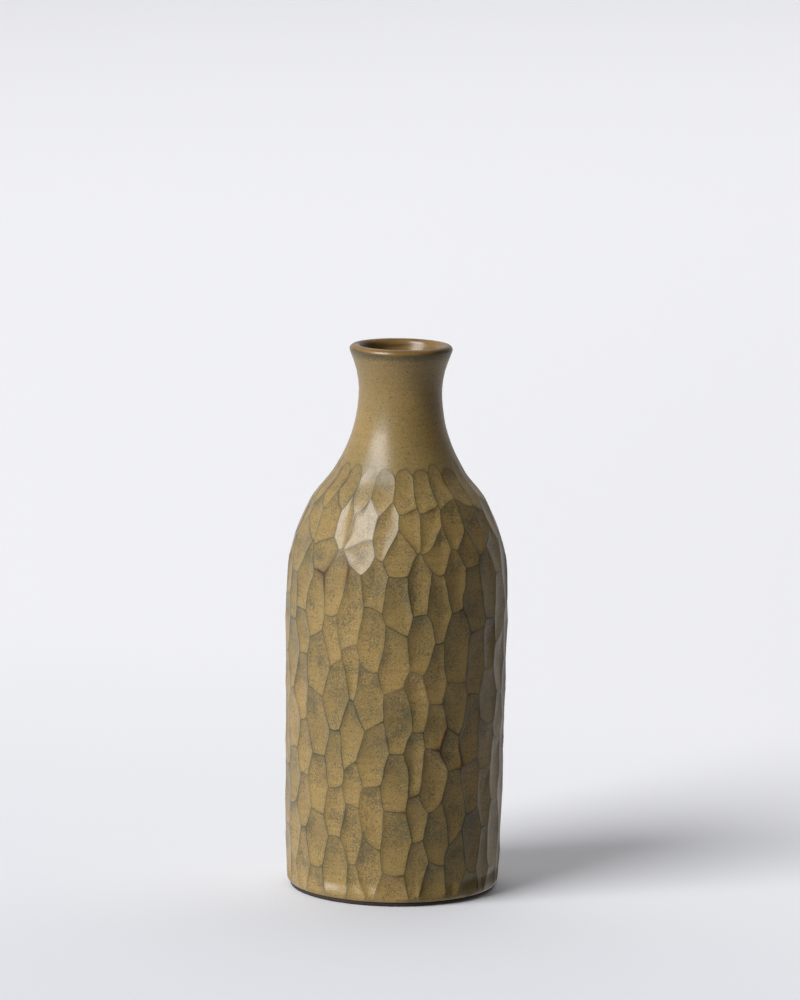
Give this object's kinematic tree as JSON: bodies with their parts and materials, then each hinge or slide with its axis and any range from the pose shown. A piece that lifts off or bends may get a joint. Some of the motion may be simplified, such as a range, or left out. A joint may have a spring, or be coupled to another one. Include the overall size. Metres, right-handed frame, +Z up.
{
  "type": "sake bottle",
  "caption": "Narrow-necked carved stoneware sake bottle with a flared lip, faceted wall and satin glaze, standing on a bare clay foot.",
  "frame": {"origin": "middle of the foot, on the surface the bottle stands on", "axes": "+Z up along the bottle's axis; the bottle is round, so +X and +Y are free"},
  "size_m": [0.0751, 0.0751, 0.185],
  "materials": {
    "bare_stoneware": "matte",
    "satin_glaze": "satin",
    "liner_glaze": "gloss"
  },
  "bodies": {
    "root": {"stoneware_body": "bare_stoneware", "outer_glaze": "satin_glaze", "inner_glaze": "liner_glaze"}
  },
  "joints": []
}
